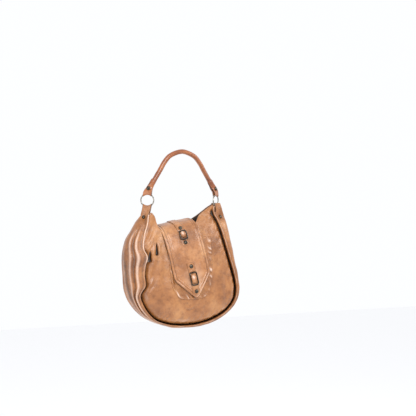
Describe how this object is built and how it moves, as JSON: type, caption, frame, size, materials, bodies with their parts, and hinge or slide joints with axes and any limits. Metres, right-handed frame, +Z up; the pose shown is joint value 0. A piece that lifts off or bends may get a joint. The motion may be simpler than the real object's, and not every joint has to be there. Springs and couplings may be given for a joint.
{
  "type": "hobo bag",
  "caption": "Rounded soft leather hobo bag with gusset band, ring-hung rolled handle, zipped curved mouth and a strapped V-tipped flap.",
  "frame": {"origin": "underside of the handle's crown, midway between its two rings, where a hand or forearm carries the bag", "axes": "+Z up, +X across the bag to the right seen from the front, front of the bag faces -Y"},
  "size_m": [0.3395, 0.1319, 0.491],
  "materials": {
    "tan_leather": "glazed distressed tan leather",
    "handle_leather": "smooth rolled cognac leather, stitched along the roll",
    "ring_metal": "antique dark gunmetal, worn bright on the edges",
    "stud_metal": "antique dark brass domes",
    "lining_cloth": "dark brown cotton twill",
    "zip_tape": "woven dark zip tape",
    "zip_metal": "aged nickel zip teeth and slider",
    "snap_metal": "satin nickel magnetic snap",
    "board": "covered stiffening board",
    "core_cord": "twisted cotton filler cord"
  },
  "bodies": {
    "handle": {"handle_roll": "handle_leather", "handle_core": "core_cord", "left_handle_end": "handle_leather", "right_handle_end": "handle_leather", "left_handle_stud": "stud_metal", "right_handle_stud": "stud_metal"},
    "left_ring": {"left_ring": "ring_metal"},
    "right_ring": {"right_ring": "ring_metal"},
    "bag": {"gusset": "tan_leather", "front_panel": "tan_leather", "back_panel": "tan_leather", "front_lip": "tan_leather", "back_lip": "tan_leather", "front_shield": "tan_leather", "lining": "lining_cloth", "slip_pocket": "lining_cloth", "base_board": "board", "front_zip_tape": "zip_tape", "back_zip_tape": "zip_tape", "front_zip_teeth": "zip_metal", "back_zip_teeth": "zip_metal", "flap_base": "tan_leather", "snap_socket": "snap_metal", "left_tab": "tan_leather", "right_tab": "tan_leather", "left_tab_stud": "stud_metal", "right_tab_stud": "stud_metal"},
    "flap": {"flap": "tan_leather", "flap_lining": "lining_cloth", "top_strap": "tan_leather", "top_strap_ring": "ring_metal", "top_strap_studs": "stud_metal", "front_strap": "tan_leather", "front_strap_ring": "ring_metal", "front_strap_studs": "stud_metal", "snap_cap": "snap_metal"},
    "zip_slider": {"zip_slider": "zip_metal"},
    "zip_pull": {"zip_pull": "zip_metal"}
  },
  "joints": [
    {"name": "bag_swing", "type": "hinge", "parent": "handle", "child": "bag", "pos_m": [0, 0, -0.154], "axis": [1, 0, 0], "range_deg": [-75, 75], "deforming": ["left_tab", "right_tab"]},
    {"name": "left_ring_turn", "type": "hinge", "parent": "handle", "child": "left_ring", "pos_m": [-0.105, 0, -0.127], "axis": [-0.6428, -0.766, 0], "continuous": true},
    {"name": "right_ring_turn", "type": "hinge", "parent": "handle", "child": "right_ring", "pos_m": [0.105, 0, -0.127], "axis": [0.6428, -0.766, 0], "continuous": true},
    {"name": "flap_lift", "type": "hinge", "parent": "bag", "child": "flap", "pos_m": [-0.0262, 0.0255, -0.1893], "axis": [-0.9816, 0, -0.1908], "range_deg": [0, 80]},
    {"name": "zip_travel", "type": "slide", "parent": "bag", "child": "zip_slider", "axis": [0.9816, 0, 0.1908], "range_m": [0, 0.088]},
    {"name": "pull_swing", "type": "hinge", "parent": "zip_slider", "child": "zip_pull", "pos_m": [-0.0672, 0, -0.21706], "axis": [0, 1, 0], "range_deg": [-70, 70]}
  ]
}
